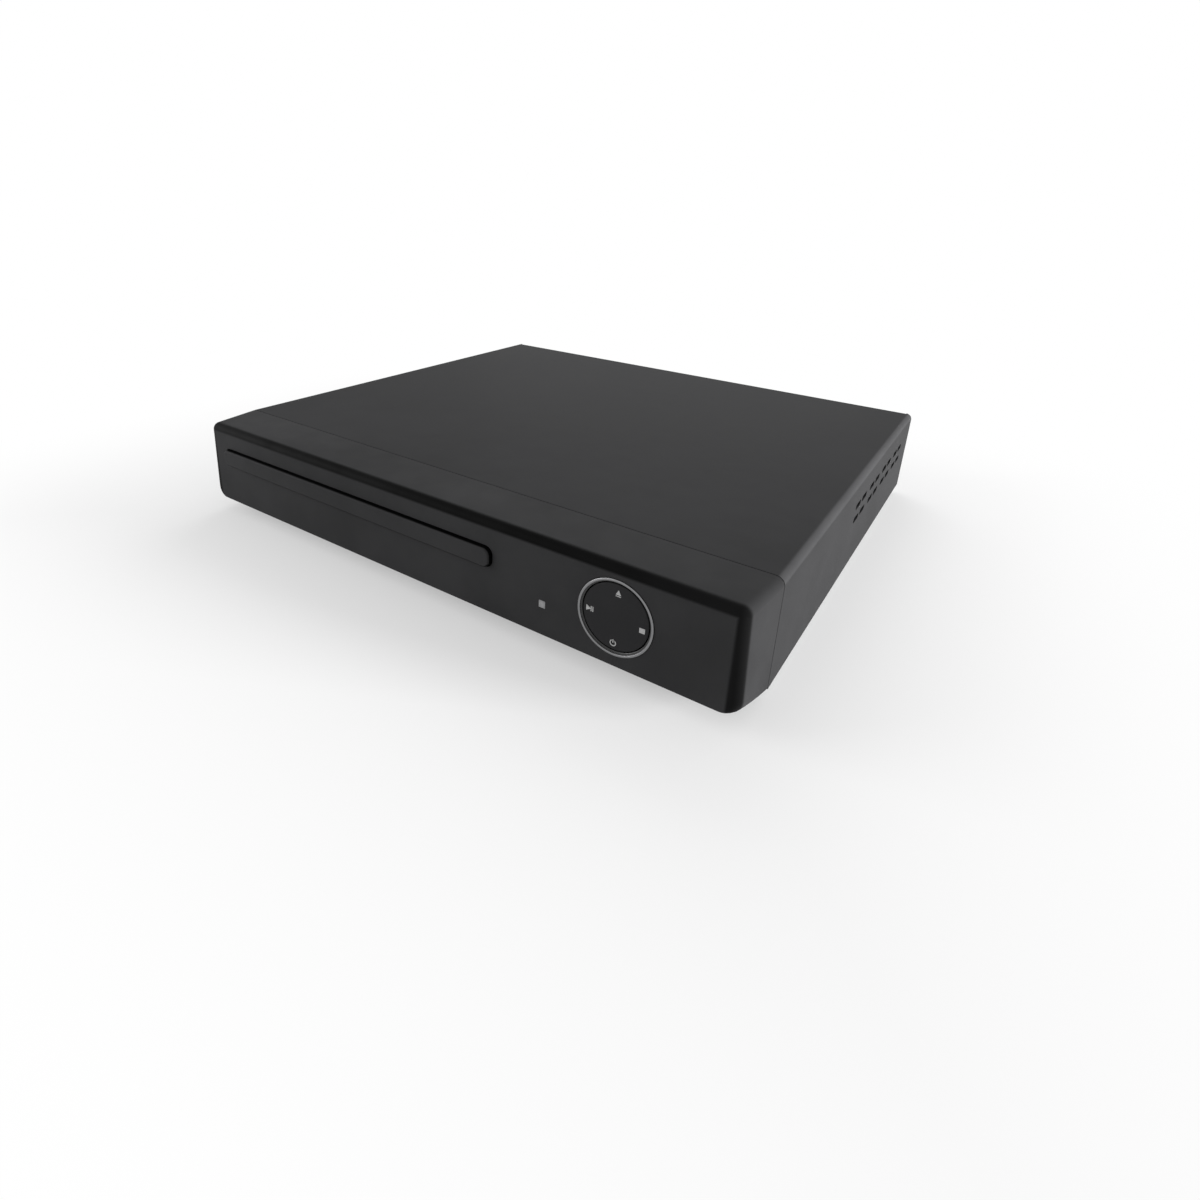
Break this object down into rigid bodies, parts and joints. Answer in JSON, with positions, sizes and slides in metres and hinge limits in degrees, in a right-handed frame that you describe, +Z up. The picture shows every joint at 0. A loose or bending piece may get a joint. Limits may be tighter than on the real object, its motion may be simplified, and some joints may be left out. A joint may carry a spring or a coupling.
{
  "type": "dvd player with tray",
  "caption": "Slim tray-loading disc player: folded metal cover, plastic bezel with a tray door, a round control pad in a silver ring, and a complete loader and disc drive inside.",
  "frame": {"origin": "middle of the base, at the bottom of the feet", "axes": "+X to the right seen from the front, +Y to the back, +Z up"},
  "size_m": [0.225, 0.215, 0.038],
  "materials": {
    "bezel_plastic": "fine satin moulding",
    "cover_paint": "satin black paint",
    "zinc_steel": "zinc plated sheet",
    "ring_metal": "satin silver",
    "pad_plastic": "smooth black with pale symbols",
    "window_plastic": "frosted",
    "door_plastic": "satin moulding",
    "tray_plastic": "fine texture",
    "loader_plastic": "moulded",
    "white_plastic": "natural acetal",
    "rubber_black": "matt",
    "steel": "bright",
    "black_screw": "black zinc",
    "brass": "bright",
    "motor_can": "drawn can",
    "board_green": "solder resist",
    "board_tan": "phenolic laminate",
    "chip_black": "moulded",
    "can_sleeve": "shrunk sleeve",
    "sink_aluminium": "extruded",
    "jack_black": "moulded",
    "jack_yellow": "moulded",
    "nickel": "nickel plated",
    "header_ivory": "moulded",
    "ribbon": "flat cable",
    "lead_blue": "sleeved",
    "lead_red": "sleeved",
    "winding": "taped winding",
    "magnet": "sintered ferrite",
    "lens_glass": "clear",
    "led_red": "tinted resin",
    "fuse_glass": "clear",
    "die_cast": "die cast"
  },
  "bodies": {
    "case": {"front_bezel": "bezel_plastic", "control_ring": "ring_metal", "status_window": "window_plastic", "top_cover": "cover_paint", "bottom_chassis": "zinc_steel", "rear_panel": "zinc_steel", "feet": "rubber_black", "case_screws": "black_screw", "board_screws": "steel", "front_board": "board_green", "push_switches": "chip_black", "ir_receiver": "chip_black", "status_led": "led_red", "front_ribbon": "ribbon", "board_headers": "header_ivory", "main_board": "board_green", "board_chips": "chip_black", "chip_heat_sink": "sink_aluminium", "capacitors": "can_sleeve", "jack_blocks": "jack_black", "jack_inserts": "jack_yellow", "jack_barrels": "nickel", "hdmi_jack": "nickel", "mains_inlet": "jack_black", "inlet_pins": "nickel", "mains_leads": "lead_blue", "power_board": "board_tan", "transformer": "winding", "power_heat_sink": "sink_aluminium", "fuse": "fuse_glass", "power_harness": "lead_red", "loader_frame": "loader_plastic", "loader_screws": "steel", "clamp_bridge": "loader_plastic", "loading_motor": "motor_can", "drive_belt": "rubber_black", "pickup_ribbon": "ribbon"},
    "gimbal": {"pad_gimbal": "loader_plastic"},
    "pad": {"control_pad": "pad_plastic"},
    "tray": {"tray": "tray_plastic", "tray_door": "door_plastic"},
    "tray_gear": {"tray_gear": "white_plastic"},
    "pulley_gear": {"pulley_gear": "white_plastic"},
    "motor_pulley": {"motor_pulley": "brass"},
    "cam": {"cam_slider": "white_plastic"},
    "lift": {"lift_frame": "loader_plastic", "rubber_dampers": "rubber_black", "damper_screws": "steel", "traverse_frame": "die_cast", "spindle_motor": "motor_can", "guide_rods": "steel", "sled_motor": "motor_can"},
    "spindle": {"spindle_rotor": "motor_can", "turntable": "loader_plastic"},
    "puck": {"clamp_puck": "white_plastic", "clamp_magnet": "magnet"},
    "sled": {"pickup_sled": "die_cast"},
    "lens": {"objective_lens": "lens_glass"},
    "sled_gear": {"sled_gear": "white_plastic"},
    "sled_pinion": {"sled_pinion": "brass"}
  },
  "joints": [
    {"name": "pad_tilt_up_down", "type": "hinge", "parent": "case", "child": "gimbal", "pos_m": [0.075, -0.101, 0.0217], "axis": [1, 0, 0], "range_deg": [-2, 2], "stiffness_Nm_per_rad": 0.2},
    {"name": "pad_tilt_left_right", "type": "hinge", "parent": "gimbal", "child": "pad", "pos_m": [0.075, -0.101, 0.0217], "axis": [0, 0, 1], "range_deg": [-2, 2], "stiffness_Nm_per_rad": 0.2},
    {"name": "tray_slide", "type": "slide", "parent": "case", "child": "tray", "axis": [0, -1, 0], "range_m": [0, 0.14]},
    {"name": "tray_gear_turn", "type": "hinge", "parent": "case", "child": "tray_gear", "pos_m": [-0.0013, -0.0824, 0.0155], "axis": [0, 0, 1], "range_deg": [-894.3, 0]},
    {"name": "pulley_gear_turn", "type": "hinge", "parent": "case", "child": "pulley_gear", "pos_m": [-0.0213, -0.0824, 0.0155], "axis": [0, 0, 1], "range_deg": [0, 2825.3]},
    {"name": "motor_pulley_turn", "type": "hinge", "parent": "case", "child": "motor_pulley", "pos_m": [-0.0563, -0.0824, 0.0155], "axis": [0, 0, 1], "range_deg": [0, 9074.8]},
    {"name": "lift_tilt", "type": "hinge", "parent": "case", "child": "lift", "pos_m": [-0.0343, 0.0441, 0.0139], "axis": [-1, 0, 0], "range_deg": [0, 4.3]},
    {"name": "cam_slide", "type": "slide", "parent": "case", "child": "cam", "axis": [-1, 0, 0], "range_m": [0, 0.02005]},
    {"name": "spindle_turn", "type": "hinge", "parent": "lift", "child": "spindle", "pos_m": [-0.0343, -0.0399, 0.01079], "axis": [0, -0.075, 0.9972], "continuous": true},
    {"name": "puck_turn", "type": "hinge", "parent": "case", "child": "puck", "pos_m": [-0.0343, -0.0399, 0.0321], "axis": [0, 0, 1], "continuous": true},
    {"name": "sled_slide", "type": "slide", "parent": "lift", "child": "sled", "axis": [0, 0.9972, 0.075], "range_m": [0, 0.035]},
    {"name": "sled_gear_turn", "type": "hinge", "parent": "lift", "child": "sled_gear", "pos_m": [-0.0018, -0.01001, 0.01334], "axis": [0, -0.075, 0.9972], "range_deg": [-480.5, 0]},
    {"name": "sled_pinion_turn", "type": "hinge", "parent": "lift", "child": "sled_pinion", "pos_m": [-0.0018, 0.00196, 0.01424], "axis": [0, -0.075, 0.9972], "range_deg": [0, 1435.4]},
    {"name": "lens_focus", "type": "slide", "parent": "sled", "child": "lens", "axis": [0, -0.075, 0.9972], "range_m": [-0.0004, 0.0004], "stiffness_N_per_m": 40}
  ],
  "couplings": [
    {"joint": "tray_gear_turn", "follows": "tray_slide", "rad_per_m": -111.11},
    {"joint": "pulley_gear_turn", "follows": "tray_slide", "rad_per_m": 351.85},
    {"joint": "motor_pulley_turn", "follows": "tray_slide", "rad_per_m": 1131},
    {"joint": "cam_slide", "follows": "lift_tilt", "m_per_rad": 0.26642},
    {"joint": "puck_turn", "follows": "spindle_turn", "ratio": 1},
    {"joint": "sled_gear_turn", "follows": "sled_slide", "rad_per_m": -238.1},
    {"joint": "sled_pinion_turn", "follows": "sled_slide", "rad_per_m": 714.29}
  ]
}
